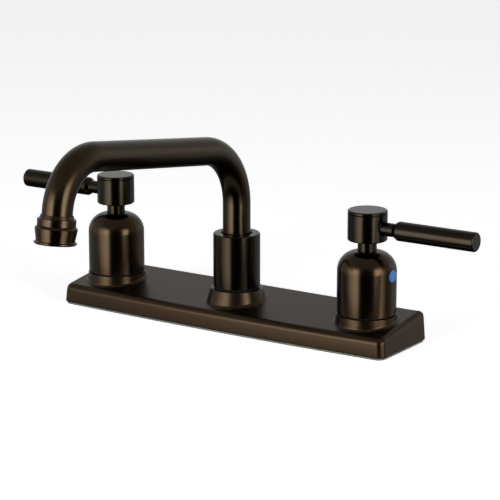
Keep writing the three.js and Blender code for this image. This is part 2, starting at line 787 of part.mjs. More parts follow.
function aeratorInsert() {
  const radius = insertRadius;
  let insert = rod(radius, ledge, insertTop);
  const pitch = radius / 2;
  for (let ix = -1; ix <= 1; ix += 1) {
    for (let iy = -1; iy <= 1; iy += 1) {
      const hole = block(-pitch / 3, pitch / 3, -pitch / 3, pitch / 3, ledge - 1, insertTop + 1);
      insert = insert.subtract(hole.translate(ix * pitch, iy * pitch, 0));
    }
  }
  return insert;
}

const outlet = new THREE.Group();
outlet.position.copy(spoutPath.bendEnd).addScaledVector(spoutPath.down, outletStraight);
outlet.rotation.x = THREE.MathUtils.degToRad(-outletLean);
group.add(outlet);
place(outlet, 'spout_tip_adapter', tipAdapter(), bronze);
place(outlet, 'aerator_housing', aeratorHousing(), bronze);
const washerInner = tubeInner - fit;
const sealRing = ring(threadOuter, washerInner, washerBottom, threadBottom);
place(outlet, 'aerator_washer', sealRing, rubber);
place(outlet, 'aerator_screen', rod(insertRadius, insertTop, screenTop), steel);
place(outlet, 'aerator_insert', aeratorInsert(), acetal);

export default group;
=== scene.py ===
import math

import bpy
from mathutils import Matrix, Vector


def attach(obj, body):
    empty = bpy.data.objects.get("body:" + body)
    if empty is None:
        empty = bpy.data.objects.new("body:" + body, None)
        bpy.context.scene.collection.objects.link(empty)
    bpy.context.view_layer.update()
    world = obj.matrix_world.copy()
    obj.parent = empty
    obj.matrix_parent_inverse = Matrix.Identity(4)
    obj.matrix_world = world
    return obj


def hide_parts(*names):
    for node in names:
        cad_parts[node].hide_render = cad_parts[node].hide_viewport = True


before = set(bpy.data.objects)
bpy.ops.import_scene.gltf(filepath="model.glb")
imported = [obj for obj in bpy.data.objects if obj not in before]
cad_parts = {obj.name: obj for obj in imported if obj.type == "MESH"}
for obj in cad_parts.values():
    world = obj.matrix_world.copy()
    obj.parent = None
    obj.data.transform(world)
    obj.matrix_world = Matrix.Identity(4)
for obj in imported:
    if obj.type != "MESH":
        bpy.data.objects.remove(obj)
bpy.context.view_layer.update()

# ---------------------------------------------------------------- camera
# The photograph is taken from the user's right, a little above the bells,
# with a long lens that looks at a point over the spout's seat.
MM = 0.001
view_turn = math.radians(34.13)
view_height = math.radians(13.297)
view_roll = math.radians(-0.09)
looked_at, view_distance = Vector((0, 0, 60)), 1402.65
to_lens = Vector((math.sin(view_turn), -math.cos(view_turn), 0))
level = Vector((math.cos(view_turn), math.sin(view_turn), 0))
back = math.cos(view_height) * to_lens + Vector((0, 0, math.sin(view_height)))
upward = back.cross(level)
across = math.cos(view_roll) * level + math.sin(view_roll) * upward
rise = math.cos(view_roll) * upward - math.sin(view_roll) * level
camera = bpy.data.objects.new("camera", bpy.data.cameras.new("camera"))
bpy.context.scene.collection.objects.link(camera)
camera.matrix_world = Matrix.LocRotScale(
    (looked_at + view_distance * back) * MM,
    Matrix((across, rise, back)).transposed().to_quaternion(), None)
camera.data.lens = 150.37
camera.data.sensor_width = 36
camera.data.shift_x = 0.0266
camera.data.shift_y = -0.0278
bpy.context.scene.camera = camera

# ---------------------------------------------------------------- base gasket
# A flat strip of closed cell foam, die cut to the plate's outline. It is pale grey
# and matt, and is squeezed between the plate and the deck, so only its edge shows.
plate_length, plate_front, plate_back, plate_bow = 258.6, 29.3, 30.7, 2.8
gasket_thick, gasket_inset = 1.3, 0.9
handle_spacing = 203.2
handle_axis = handle_spacing / 2
shank_hole = 10.7


def pick(piece):
    """Selects one piece alone and makes it the active one."""
    bpy.ops.object.select_all(action="DESELECT")
    piece.select_set(True)
    bpy.context.view_layer.objects.active = piece


def choose(piece, wanted, kind="VERT"):
    """Selects, in edit mode, the points, edges or faces of which wanted() is true."""
    bpy.ops.mesh.select_mode(type=kind)
    bpy.ops.mesh.select_all(action="DESELECT")
    bpy.ops.object.mode_set(mode="OBJECT")
    mesh = piece.data
    for part in {"VERT": mesh.vertices, "EDGE": mesh.edges, "FACE": mesh.polygons}[kind]:
        part.select = bool(wanted(part))
    bpy.ops.object.mode_set(mode="EDIT")


def start(name):
    """Names the primitive that was just added, puts its place in its mesh and opens it to edit."""
    piece = bpy.context.object
    piece.name = piece.data.name = name
    bpy.ops.object.transform_apply()
    bpy.ops.object.mode_set(mode="EDIT")
    bpy.ops.mesh.select_all(action="SELECT")
    return piece


def weld(fill_ends=False):
    """Merges points that coincide in the shell being edited, and turns its faces outwards."""
    bpy.ops.mesh.select_all(action="SELECT")
    bpy.ops.mesh.remove_doubles(threshold=0.002 * MM)
    if fill_ends:
        bpy.ops.mesh.fill_holes(sides=0)
    bpy.ops.mesh.normals_make_consistent(inside=False)


def closed(piece):
    """Ends the editing of a shell, with its open ends filled."""
    weld(fill_ends=True)
    bpy.ops.object.mode_set(mode="OBJECT")
    return piece


def put(piece, at, lean=(0, 0, 0)):
    """Turns a piece by lean, in degrees, and moves it by at, in millimetres, within its mesh."""
    pick(piece)
    piece.location = Vector(at) * MM
    piece.rotation_euler = [math.radians(angle) for angle in lean]
    bpy.ops.object.transform_apply()


def apply_modifier(piece, kind, **settings):
    """Adds a modifier with its settings to a piece and applies it."""
    made = piece.modifiers.new(kind, kind)
    for name, value in settings.items():
        setattr(made, name, value)
    bpy.context.view_layer.objects.active = piece
    bpy.ops.object.modifier_apply(modifier=made.name)


def cut(piece, tool, operation="DIFFERENCE"):
    """Cuts a tool's shape out of a piece, or joins it on, and throws the tool away."""
    apply_modifier(piece, "BOOLEAN", object=tool, operation=operation, solver="EXACT")
    bpy.data.objects.remove(tool)


def turned(name, profile, sides=128, at=(0, 0, 0), lean=(0, 0, 0)):
    """Lathe work: a ring of points is drawn out through (radius, height) pairs in millimetres.
    A profile that ends where it began is a closed ring; any other gets a face on both ends."""
    bpy.ops.object.select_all(action="DESELECT")
    radius, height = profile[0]
    bpy.ops.mesh.primitive_circle_add(vertices=sides, radius=radius * MM,
                                      location=(0, 0, height * MM))
    piece = start(name)
    for next_radius, next_height in profile[1:]:
        bpy.ops.mesh.extrude_region_move(
            TRANSFORM_OT_translate={"value": (0, 0, (next_height - height) * MM)})
        grown = next_radius / radius
        bpy.ops.transform.resize(value=(grown, grown, 1), center_override=(0, 0, 0))
        radius, height = next_radius, next_height
    closed(piece)
    put(piece, at, lean)
    return piece


def plate_plan(name, inset, bottom, top, draft=0.0, corners=(5.0, 2.2)):
    """Block with the plate's outline: the bowed front is thirty sides of a very big ring,
    drawn back to the straight rear edge, then up; corners rounds its front and back uprights."""
    half = plate_length / 2
    ring, ring_sides, side_to_spare = (half ** 2 + plate_bow ** 2) / (2 * plate_bow), 2172, 9
    bpy.ops.object.select_all(action="DESELECT")
    bpy.ops.mesh.primitive_circle_add(vertices=ring_sides, radius=ring * MM,
                                      location=(0, (ring - plate_front + inset) * MM, 0))
    piece = start(name)
    kept_half = (half + side_to_spare) * MM
    choose(piece, lambda point: point.co.y > 0 or abs(point.co.x) > kept_half)
    bpy.ops.mesh.delete(type="VERT")
    bpy.ops.mesh.select_all(action="SELECT")
    bpy.ops.mesh.extrude_region_move()
    bpy.ops.transform.resize(value=(1, 0, 1), center_override=(0, (plate_back - inset) * MM, 0))
    for sign in (-1, 1):
        bpy.ops.mesh.select_all(action="SELECT")
        bpy.ops.mesh.bisect(plane_co=(sign * (half - inset) * MM, 0, 0), plane_no=(sign, 0, 0),
                            clear_outer=True)
    bpy.ops.mesh.select_all(action="SELECT")
    bpy.ops.transform.translate(value=(0, 0, bottom * MM))
    bpy.ops.mesh.extrude_region_move(
        TRANSFORM_OT_translate={"value": (0, 0, (top - bottom) * MM)})
    deep = (plate_front + plate_back) / 2 - inset
    long = half - inset
    bpy.ops.transform.resize(value=((long - draft) / long, (deep - draft) / deep, 1),
                             center_override=(0, (plate_back - plate_front) / 2 * MM, 0))
    weld()
    end, half_height = (long - draft - 0.1) * MM, (top - bottom) * MM / 2
    for side, corner in zip((-1, 1), corners):
        def upright(edge):
            a, b = (piece.data.vertices[i].co for i in edge.vertices)
            at_corner = min(abs(a.x), abs(b.x)) > end and side * a.y > 0
            return at_corner and abs(a.z - b.z) > half_height

        choose(piece, upright, "EDGE")
        bpy.ops.mesh.bevel(offset=corner * MM, segments=10, affect="EDGES")
    return closed(piece)


def soften(piece, width, segments=3, angle=28):
    """Rounds every edge that is sharper than an angle, as tumbling and polishing do."""
    apply_modifier(piece, "BEVEL", width=width * MM, segments=segments, limit_method="ANGLE",
                   angle_limit=math.radians(angle), use_clamp_overlap=True)


def smooth(piece, angle=32):
    """Shades a piece smooth up to an angle, with the broad faces kept true."""
    pick(piece)
    bpy.ops.object.shade_smooth_by_angle(angle=math.radians(angle))
    apply_modifier(piece, "WEIGHTED_NORMAL", mode="FACE_AREA", weight=60, keep_sharp=True)


def linear(shade):
    """The linear colour of an sRGB hex value."""
    parts = [int(shade[i:i + 2], 16) / 255 for i in (1, 3, 5)]
    return [p / 12.92 if p <= 0.04045 else ((p + 0.055) / 1.055) ** 2.4 for p in parts] + [1.0]


def feed(made, feeds):
    """Gives inputs of a shader node each a value, or the socket that feeds it."""
    for name, value in feeds.items():
        if isinstance(value, bpy.types.NodeSocket):
            made.id_data.links.new(value, made.inputs[name])
        else:
            made.inputs[name].default_value = value


def node(owner, kind, feeds=None, stops=(), **settings):
    """Adds a shader node with its settings and feeds, and its (place, colour) stops if any."""
    made = owner.node_tree.nodes.new("ShaderNode" + kind)
    for name, value in settings.items():
        setattr(made, name, value)
    feed(made, feeds or {})
    if stops:
        elements = made.color_ramp.elements
        while len(elements) < len(stops):
            elements.new(0.5)
        for element, (place, colour) in zip(elements, stops):
            element.position = place
            element.color = colour
    return made


def finish_for(name, **sockets):
    """New material: its shader with plain values set, and the object's own coordinates."""
    material = bpy.data.materials.new(name)
    material.use_nodes = True
    shader = material.node_tree.nodes["Principled BSDF"]
    feed(shader, {socket.replace("_", " "): value for socket, value in sockets.items()})
    return material, shader, node(material, "TexCoord").outputs["Object"]


def dress(piece, material, body, stands_for):
    """Gives a piece its material and its body, and hides the CAD node it replaces."""
    piece.data.materials.clear()
    piece.data.materials.append(material)
    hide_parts(stands_for)
    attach(piece, body)


# closed cell foam: matt, with dents where cells are cut open; they are about 0.4 mm wide, drawn
# at 0.9 mm so that they show
foam, foam_shader, foam_place = finish_for("closed_cell_foam_moulded", Roughness=0.85)
foam_cells = node(foam, "TexVoronoi", {"Vector": foam_place, "Scale": 1100.0}).outputs["Distance"]
foam_tone = node(foam, "ValToRGB", {"Fac": foam_cells},
                 [(0, linear("#7b7c74")), (1, linear("#696b63"))])
foam_dents = node(foam, "Bump", {"Height": foam_cells, "Strength": 0.3, "Distance": 0.2 * MM})
feed(foam_shader, {"Base Color": foam_tone.outputs["Color"],
                   "Normal": foam_dents.outputs["Normal"]})

strip = plate_plan("deck_gasket_strip", gasket_inset, 0, gasket_thick)
soften(strip, 0.2, 2, 50)
for sign in (-1, 1):
    cut(strip, turned("shank_hole", [(shank_hole, -2), (shank_hole, 4)], 48,
                      (sign * handle_axis, 0, 0)))
smooth(strip)
dress(strip, foam, "base", "base_gasket")

# ---------------------------------------------------------------- deck cover
# One zinc casting: a hollow bar whose top falls towards the user, with three round
# bosses cast on it, polished and then given the dark satin bronze of the whole faucet.
plate_height, plate_fall, plate_wall, plate_draft = 17.4, 0.135, 2.4, 1.05
top_round, low_round = 3.8, 1.0
hollow_draft, hollow_corners, hollow_round = 2.6, (3, 1.5), 1.2
bell_boss = dict(top=22.0, radius=19.8, flare=0.07, bore=16.6)
spout_boss = dict(top=25.0, radius=17.7, flare=0.31, bore=14.55)
boss_round, foot_fillet, foot_skirt = 0.15, 2.0, 3.0


def wedge(piece, drop=0.0):
    """Tilts the flat top of a block to the plate's fall, lowered by drop, and leaves it in edit."""
    fall = math.atan(plate_fall)
    flat = max(point.co.z for point in piece.data.vertices)
    height = (plate_height - drop) * MM
    pick(piece)
    bpy.ops.object.mode_set(mode="EDIT")
    choose(piece, lambda point: point.co.z > flat - 0.01 * MM)
    bpy.ops.transform.resize(value=(1, 1 / math.cos(fall), 1), center_override=(0, 0, 0))
    bpy.ops.transform.translate(value=(0, 0, height - flat))
    bpy.ops.transform.rotate(value=-fall, orient_axis="X", center_override=(0, 0, height))


def mark_chosen(piece, group):
    """Keeps the points that are chosen in edit mode as a vertex group, and opens the piece again."""
    bpy.ops.object.mode_set(mode="OBJECT")
    chosen = [point.index for point in piece.data.vertices if point.select]
    piece.vertex_groups.new(name=group).add(chosen, 1.0, "REPLACE")
    bpy.ops.object.mode_set(mode="EDIT")
    return chosen


def choose_marked(piece, group):
    """Chooses the points of a vertex group in edit mode."""
    bpy.ops.mesh.select_all(action="DESELECT")
    piece.vertex_groups.active_index = piece.vertex_groups[group].index
    bpy.ops.object.vertex_group_select()


def boss(plate, x, top, radius, flare):
    """Cone cut along the plate's top face, with a skirt that lies on the plate and a cast fillet."""
    deep, sunk = 14, 0.05
    cone = turned("boss", [(radius + flare * deep, top - deep), (radius, top)], 128, (x, 0, 0))
    bpy.ops.object.mode_set(mode="EDIT")
    choose(cone, lambda edge: all(cone.data.vertices[i].co.z > (top - 0.01) * MM
                                  for i in edge.vertices), "EDGE")
    bpy.ops.mesh.bevel(offset=boss_round * MM, segments=2, affect="EDGES")
    bpy.ops.mesh.select_all(action="SELECT")
    square_to_top = Vector((0, -plate_fall, 1)).normalized()
    bpy.ops.mesh.bisect(plane_co=(x * MM, 0, plate_height * MM), plane_no=square_to_top,
                        clear_inner=True)
    mark_chosen(cone, "foot")
    bpy.ops.mesh.extrude_region_move()
    low = radius + flare * (top - plate_height)
    bpy.ops.transform.resize(value=((low + foot_skirt) / low, (low + foot_skirt) / low, 1),
                             center_override=(x * MM, 0, 0))
    outer = mark_chosen(cone, "skirt")
    bpy.ops.object.mode_set(mode="OBJECT")
    cone.vertex_groups["foot"].remove(outer)
    apply_modifier(cone, "SHRINKWRAP", target=plate, vertex_group="skirt", wrap_method="PROJECT",
                   use_project_z=True, use_negative_direction=True, use_positive_direction=True)
    bpy.ops.object.mode_set(mode="EDIT")
    choose_marked(cone, "skirt")
    bpy.ops.transform.translate(value=(0, 0, -sunk * MM))
    bpy.ops.mesh.extrude_region_move()
    bpy.ops.transform.resize(value=(1, 1, 0), center_override=(0, 0, (top - deep) * MM))
    bpy.ops.mesh.select_mode(type="EDGE")
    choose_marked(cone, "foot")
    bpy.ops.mesh.bevel(offset=foot_fillet * MM, segments=8, affect="EDGES")
    closed(cone)
    cone.vertex_groups.clear()
    return cone


def grain_of(material, place, per_metre):
    """Noise drawn out to as many lines or specks per metre along each axis."""
    drawn_out = node(material, "Mapping", {"Vector": place, "Scale": per_metre})
    return node(material, "TexNoise", {"Vector": drawn_out.outputs["Vector"], "Scale": 1.0,
                                       "Detail": 3.0}).outputs["Fac"]


# satin bronze: a dark metal film with a fine rubbed grain, so that a lamp shows as a soft warm
# band; the grain is about 0.05 mm, drawn at 0.4 mm on turned pieces and at 1.1 mm on cast and
# drawn ones so that it shows
def satin_bronze(name, grain, sheen, red_tone="#32261c", green_tone="#30281d"):
    """Bronze film of a mean roughness, sheen, that drifts between two tones every 20 mm or so."""
    material, shader, place = finish_for(name, Metallic=1.0, Roughness=0.22)
    lines = grain_of(material, place, grain)
    cloud = node(material, "TexNoise", {"Vector": place, "Scale": 45.0, "Detail": 4.0})
    tone = node(material, "ValToRGB", {"Fac": cloud.outputs["Fac"]},
                [(0.3, linear(red_tone)), (0.7, linear(green_tone))])
    dull = node(material, "MapRange", {"Value": lines, "From Min": 0.3, "From Max": 0.7,
                                       "To Min": sheen - 0.03, "To Max": sheen + 0.03})
    ridges = node(material, "Bump", {"Height": lines, "Strength": 0.05, "Distance": 0.1 * MM})
    feed(shader, {"Base Color": tone.outputs["Color"], "Roughness": dull.outputs["Result"],
                  "Normal": ridges.outputs["Normal"]})
    return material


rubbed_grain, lathe_grain = (900.0, 900.0, 900.0), (250.0, 250.0, 2500.0)
cast_bronze = satin_bronze("bronze_film_on_satin_casting", rubbed_grain, 0.31)
tube_bronze = satin_bronze("bronze_film_on_drawn_tube", rubbed_grain, 0.23, "#32261c", "#2f2a1f")
turned_bronze = satin_bronze("bronze_film_on_turned_brass", lathe_grain, 0.22)
# the handles and the collar get a darker copy of the same film: painted shade, for the light that
# the parts round them keep off
shade_darkened_bronze = satin_bronze("dark_bronze_film_on_turned_brass", lathe_grain, 0.22,
                           "#231c14", "#23201a")

cover = plate_plan("deck_cover_casting", 0, gasket_thick, plate_height, plate_draft)
wedge(cover)
for facing, rounding, steps in ((1, top_round, 8), (-1, low_round, 4)):
    choose(cover, lambda face: facing * face.normal.z > 0.9, "FACE")
    bpy.ops.mesh.region_to_loop()
    bpy.ops.mesh.bevel(offset=rounding * MM, segments=steps, affect="EDGES")
bpy.ops.object.mode_set(mode="OBJECT")
for x, shape in ((-handle_axis, bell_boss), (handle_axis, bell_boss), (0, spout_boss)):
    cut(cover, boss(cover, x, shape["top"], shape["radius"], shape["flare"]), "UNION")
hollow = plate_plan("hollow", plate_wall, gasket_thick - 1, plate_height - plate_wall,
                    hollow_draft, hollow_corners)
wedge(hollow, plate_wall)
bpy.ops.object.mode_set(mode="OBJECT")
soften(hollow, hollow_round, 3, 50)
cut(cover, hollow)
for x, shape in ((-handle_axis, bell_boss), (0, spout_boss), (handle_axis, bell_boss)):
    cut(cover, turned("bore", [(shape["bore"], 0), (shape["bore"], 30)], 96, (x, 0, 0)))
smooth(cover, 26)
dress(cover, cast_bronze, "base", "deck_cover")

# ---------------------------------------------------------------- supply shanks, washers, lock nuts
# Under the deck each valve has a brass shank with a half inch pipe thread. A steel washer and
# a brass hexagon nut on it pull the faucet down on the deck.
shank_radius, shank_bore, shank_end, shank_top = 10.4, 6.5, -57.0, 2.9
thread_pitch, thread_depth, thread_sunk, thread_foot, thread_unused = 1.81, 0.9, 0.05, 1.8, 3.4
washer_radius, washer_top, washer_low = 19, -34, -35.6
nut_flats, nut_low = 31.8, -45.6

# turned brass: bright yellow metal with the tool's rings, which are about 0.1 mm apart and
# drawn at 0.5 mm so that they show
brass, brass_shader, brass_place = finish_for("brass_turned", Metallic=1.0, Roughness=0.32)
brass_rings = grain_of(brass, brass_place, (200.0, 200.0, 2000.0))
brass_tone = node(brass, "ValToRGB", {"Fac": brass_rings},
                  [(0, linear("#a98a48")), (1, linear("#c5a45a"))])
brass_ridges = node(brass, "Bump", {"Height": brass_rings, "Strength": 0.1, "Distance": 0.1 * MM})
feed(brass_shader, {"Base Color": brass_tone.outputs["Color"],
                    "Normal": brass_ridges.outputs["Normal"]})

# brushed stainless steel: its lines, about 0.1 mm apart and drawn at 0.5 mm, scatter the light
steel, steel_shader, steel_place = finish_for("stainless_steel_brushed", Metallic=1.0)
steel_lines = grain_of(steel, steel_place, (300.0, 1800.0, 300.0))
steel_sheen = node(steel, "MapRange", {"Value": steel_lines, "To Min": 0.22, "To Max": 0.42})
feed(steel_shader, {"Base Color": linear("#a9abad"), "Roughness": steel_sheen.outputs["Result"]})


def flat_ring(name, bore, radius, low, high, at=(0, 0, 0)):
    """Washer or seal with flat faces."""
    return turned(name, [(bore, low), (radius, low), (radius, high), (bore, high), (bore, low)],
                  96, at)


def both_sides(piece, material, body, part, hot_material=None):
    """Dresses the cold side's piece, and a copy of it turned half round the spout's axis for
    the hot side, in place of their CAD nodes."""
    pick(piece)
    bpy.ops.object.duplicate()
    twin = bpy.context.object
    twin.name = twin.data.name = piece.name.replace("cold", "hot")
    put(twin, (0, 0, 0), (0, 0, 180))
    dress(piece, material, body, "cold_" + part)
    dress(twin, hot_material or material, body.replace("cold", "hot"),
          "hot_" + part)


cold = (handle_axis, 0, 0)
root = shank_radius - thread_depth
shank = turned("cold_shank_threaded", [
    (shank_bore, shank_end), (root - 0.4, shank_end), (root, shank_end + 1), (root, -0.2),
    (shank_radius, 0), (shank_radius, shank_top), (shank_bore, shank_top),
    (shank_bore, shank_end)], 64)
bpy.ops.object.select_all(action="DESELECT")
bpy.ops.mesh.primitive_circle_add(
    vertices=4, radius=thread_depth * MM, rotation=(math.pi / 2, 0, 0),
    location=((root - thread_sunk) * MM, 0, (shank_end + thread_foot) * MM))
helix = start("thread")
bpy.ops.mesh.edge_face_add()
bpy.ops.object.mode_set(mode="OBJECT")
apply_modifier(helix, "SCREW", screw_offset=thread_pitch * MM, steps=40, use_merge_vertices=False,
               iterations=int((-shank_end - thread_unused) / thread_pitch))
bpy.ops.object.mode_set(mode="EDIT")
closed(helix)
cut(shank, helix, "UNION")
put(shank, cold)
smooth(shank)
both_sides(shank, brass, "base", "shank")

washer = flat_ring("cold_washer_stamped", shank_hole, washer_radius, washer_low, washer_top, cold)
soften(washer, 0.25, 2)
smooth(washer)
both_sides(washer, steel, "base", "deck_washer")

nut_corner = nut_flats / math.sqrt(3)
nut = turned("cold_nut_hexagon", [(nut_corner, nut_low), (nut_corner, washer_low)], 6)
cut(nut, turned("chamfer", [
    (nut_flats / 2 - 0.8, nut_low), (nut_flats / 2 + 2.6, nut_low + 2),
    (nut_flats / 2 + 2.6, washer_low - 2), (nut_flats / 2 - 0.8, washer_low)], 96), "INTERSECT")
cut(nut, turned("hole", [
    (shank_hole + 1.2, nut_low - 1.4), (shank_hole, nut_low + 0.8),
    (shank_hole, washer_low - 0.8), (shank_hole + 1.2, washer_low + 1.4)], 64))
soften(nut, 0.2, 2)
put(nut, cold)
smooth(nut)
both_sides(nut, brass, "base", "lock_nut")

# ---------------------------------------------------------------- bells and their seal rings
# Each valve is covered by a deep drawn brass bell like a thimble, screwed down on a thin
# black rubber ring on the boss. The handle's neck comes out of its rounded top.
seal_thick, bell_seal_radius = 1.2, 17.8
bell_foot = bell_boss["top"] + seal_thick
bell_top, bell_radius, bell_wall, bell_dome, throat = 63.9, 19.4, 1.5, 13.0, 6.5
dome_axis, dome_low = bell_radius - bell_dome, bell_top - bell_dome
index_radius, index_height = 4.1, dome_low - 1.6
sideways = (0, 90, 0)


def mottled(name, specks_per_metre, detail, deep, pale, **sockets):
    """Even material whose colour drifts a little between two tones."""
    material, shader, place = finish_for(name, **sockets)
    specks = node(material, "TexNoise", {"Vector": place, "Scale": specks_per_metre,
                                         "Detail": detail})
    tone = node(material, "ValToRGB", {"Fac": specks.outputs["Fac"]},
                [(0, linear(deep)), (1, linear(pale))])
    feed(shader, {"Base Color": tone.outputs["Color"]})
    return material


def arc(centre_radius, centre_height, radius, first, last, steps):
    """Part of a round in a lathe profile, in degrees from the outward direction."""
    angles = [math.radians(first + (last - first) * i / steps) for i in range(steps + 1)]
    return [(centre_radius + radius * math.cos(a), centre_height + radius * math.sin(a))
            for a in angles]


# moulded rubber: black and dull, with a faint bloom in patches of 2.5 mm
rubber = mottled("rubber_moulded", 400.0, 3.0, "#0b0b0b", "#131312",
                 Roughness=0.9, Specular_IOR_Level=0.2)

seal = flat_ring("cold_bell_ring", bell_boss["bore"], bell_seal_radius, bell_boss["top"],
                 bell_foot, cold)
soften(seal, 0.15, 2)
smooth(seal)
both_sides(seal, rubber, "base", "bell_seal")

steep = math.degrees(math.acos((throat - dome_axis) / bell_dome))
bell = turned("cold_bell_drawn", [
    (bell_radius - bell_wall, bell_foot), (bell_radius, bell_foot),
    *arc(dome_axis, dome_low, bell_dome, 0, steep, 24), (throat, bell_top - bell_wall),
    *arc(dome_axis, dome_low, bell_dome - bell_wall, 84, 0, 12),
    (bell_radius - bell_wall, bell_foot)], 144)
index_hole = index_radius + 0.3
cut(bell, turned("index_hole", [(index_hole, 14), (index_hole, 21)], 48, (0, 0, index_height),
                 sideways))
soften(bell, 0.3, 3)
put(bell, cold)
smooth(bell)
both_sides(bell, turned_bronze, "base", "bell")

# ---------------------------------------------------------------- index buttons
# Small moulded buttons, pushed out through the bells' outer sides from within: blue for
# cold, red for hot. Each face is a little domed and stands just proud of the bell.
flange, flange_back, flange_front, button_edge = 5.0, 14.9, 16.1, 19.3
button = turned("cold_button_moulded", [
    (flange, flange_back), (flange, flange_front), (index_radius, flange_front),
    (index_radius, button_edge), (4.0, button_edge + 0.15), (3.7, button_edge + 0.27),
    (3.0, button_edge + 0.37), (2.0, button_edge + 0.43), (1.0, button_edge + 0.45)],
    64, (handle_axis, 0, index_height), sideways)
smooth(button)
# moulded ABS: clear strong colour under a soft gloss, with swirls of 2 mm from the flow
blue = mottled("abs_moulded_blue", 500.0, 2.0, "#2e65a6", "#3973b7", Roughness=0.35)
red = mottled("abs_moulded_red", 500.0, 2.0, "#a5231c", "#ba3027", Roughness=0.35)
both_sides(button, blue, "base", "index_button", red)

# ---------------------------------------------------------------- handles
# Each handle is a turned drum on a neck, with a cap pressed in its top over the handle
# screw and a round bar lever that enters a counterbore in its side.
neck, neck_end, drum, drum_foot, drum_top, drum_edge = 6.2, 45.9, 12.9, 70.9, 88.5, 0.6
stem_bore, screw_bore, screw_well, web_low, web_high = 4.3, 2.5, 5.1, 79.1, 81.1
cap_tail, cap_tail_low, cap_step = 4.8, 3.2, 0.3
lever_height, lever_tenon, lever_neck, lever_radius = 79.6, 3.0, 4.4, 6.3
tenon_end, lever_shoulder, lever_full, lever_end, lever_chamfer = 6.2, 9.2, 23.4, 78.8, 0.7
hub = turned("cold_drum_turned", [
    (stem_bore, neck_end), (neck, neck_end), (neck, drum_foot), (drum - drum_edge, drum_foot),
    (drum, drum_foot + drum_edge), (drum, drum_top), (screw_well, drum_top),
    (screw_well, web_high), (screw_bore, web_high), (screw_bore, web_low), (stem_bore, web_low),
    (stem_bore, neck_end)], 128)
for name, radius, inner, outer, sides in (
        ("counterbore", lever_neck + 0.2, drum - 4, drum + 2, 64),
        ("socket", lever_tenon + 0.3, drum - 7, drum, 48)):
    cut(hub, turned(name, [(radius, inner), (radius, outer)], sides, (0, 0, lever_height),
                    sideways))
soften(hub, 0.25, 3)
put(hub, cold)
smooth(hub)
both_sides(hub, shade_darkened_bronze, "cold_handle", "hub")

cap = turned("cold_cap_pressed", [
    (cap_tail, drum_top - cap_tail_low), (cap_tail, drum_top), (drum - cap_step, drum_top),
    (drum - cap_step, drum_top + 0.25), (drum, drum_top + 0.6), (drum, drum_top + 1.8),
    (drum - drum_edge, drum_top + 1.8 + drum_edge)], 128, cold)
soften(cap, 0.2, 3)
smooth(cap)
both_sides(cap, shade_darkened_bronze, "cold_handle", "hub_cap")

bar = turned("cold_lever_bar", [
    (lever_tenon, tenon_end), (lever_tenon, lever_shoulder), (lever_neck, lever_shoulder),
    (lever_neck, lever_full - 3), (lever_radius, lever_full),
    (lever_radius, lever_end - lever_chamfer), (lever_radius - lever_chamfer, lever_end)],
    128, (handle_axis, 0, lever_height), sideways)
soften(bar, 0.25, 3)
smooth(bar)
both_sides(bar, shade_darkened_bronze, "cold_handle", "lever")

# ---------------------------------------------------------------- spout collar and its seal
# A plain turned sleeve round the foot of the spout, on a thin black rubber ring. Its lip
# closes in round the tube and holds the spout's bearing down.
tube_radius, tube_wall = 9.32, 1.2
tube_hole = tube_radius + 0.3
collar_bore, collar_radius, collar_top, collar_edge = 14.25, 15.85, 62.6, 0.6
collar_foot = spout_boss["top"] + seal_thick
seal = flat_ring("collar_ring", spout_boss["bore"], spout_boss["bore"] + 0.5, spout_boss["top"],
                 collar_foot)
smooth(seal)
dress(seal, rubber, "base", "spout_collar_seal")
collar = turned("collar_turned", [
    (collar_bore, collar_foot), (collar_radius, collar_foot),
    (collar_radius, collar_top - collar_edge), (collar_radius - collar_edge, collar_top),
    (tube_hole + 0.98, collar_top), (tube_hole + 0.68, collar_top - 1.4),
    (tube_hole, collar_top - 1.7), (tube_hole, collar_top - 3), (collar_bore, collar_top - 3),
    (collar_bore, collar_foot)], 128)
soften(collar, 0.25, 3)
smooth(collar)
dress(collar, shade_darkened_bronze, "base", "spout_collar")

# ---------------------------------------------------------------- spout tube
# One brass tube bent twice: straight up out of the collar, over in a wide bend, along a
# rising arm and down again to the outlet, then rubbed along its length before the bronze film.
tube_foot, riser_top = 30, 82.8
first_bend, first_turn = 41.3, math.radians(82.4)
arm_length, arm_rise = 118.7, math.pi / 2 - first_turn
second_bend, second_turn = 32.0, math.radians(89.6)
outlet_length, outlet_lean = 7.4, math.pi - first_turn - second_turn
arm_way = Vector((0, -math.cos(arm_rise), math.sin(arm_rise)))
under_arm = Vector((0, -math.sin(arm_rise), -math.cos(arm_rise)))
outlet_way = Vector((0, -math.sin(outlet_lean), -math.cos(outlet_lean)))
first_centre = Vector((0, -first_bend, riser_top))
second_centre = first_centre + arm_length * arm_way + (second_bend - first_bend) * under_arm


def drawn_on(way):
    """Draws the end of the tube straight on."""
    bpy.ops.mesh.extrude_region_move(TRANSFORM_OT_translate={"value": way * MM})


def bent_down(turn, centre):
    """Bends the end of the tube on round a centre, towards the front and down."""
    bpy.ops.mesh.spin(steps=34, angle=-turn, center=centre * MM, axis=(1, 0, 0))


bpy.ops.object.select_all(action="DESELECT")
bpy.ops.mesh.primitive_circle_add(vertices=96, radius=tube_radius * MM,
                                  location=(0, 0, tube_foot * MM))
tube = start("spout_bent_tube")
drawn_on(Vector((0, 0, riser_top - tube_foot)))
bent_down(first_turn, first_centre)
drawn_on(arm_length * arm_way)
bent_down(second_turn, second_centre)
drawn_on(outlet_length * outlet_way)
weld()
bpy.ops.object.mode_set(mode="OBJECT")
apply_modifier(tube, "SOLIDIFY", thickness=tube_wall * MM, offset=-1)
smooth(tube)
dress(tube, tube_bronze, "spout", "spout_tube")

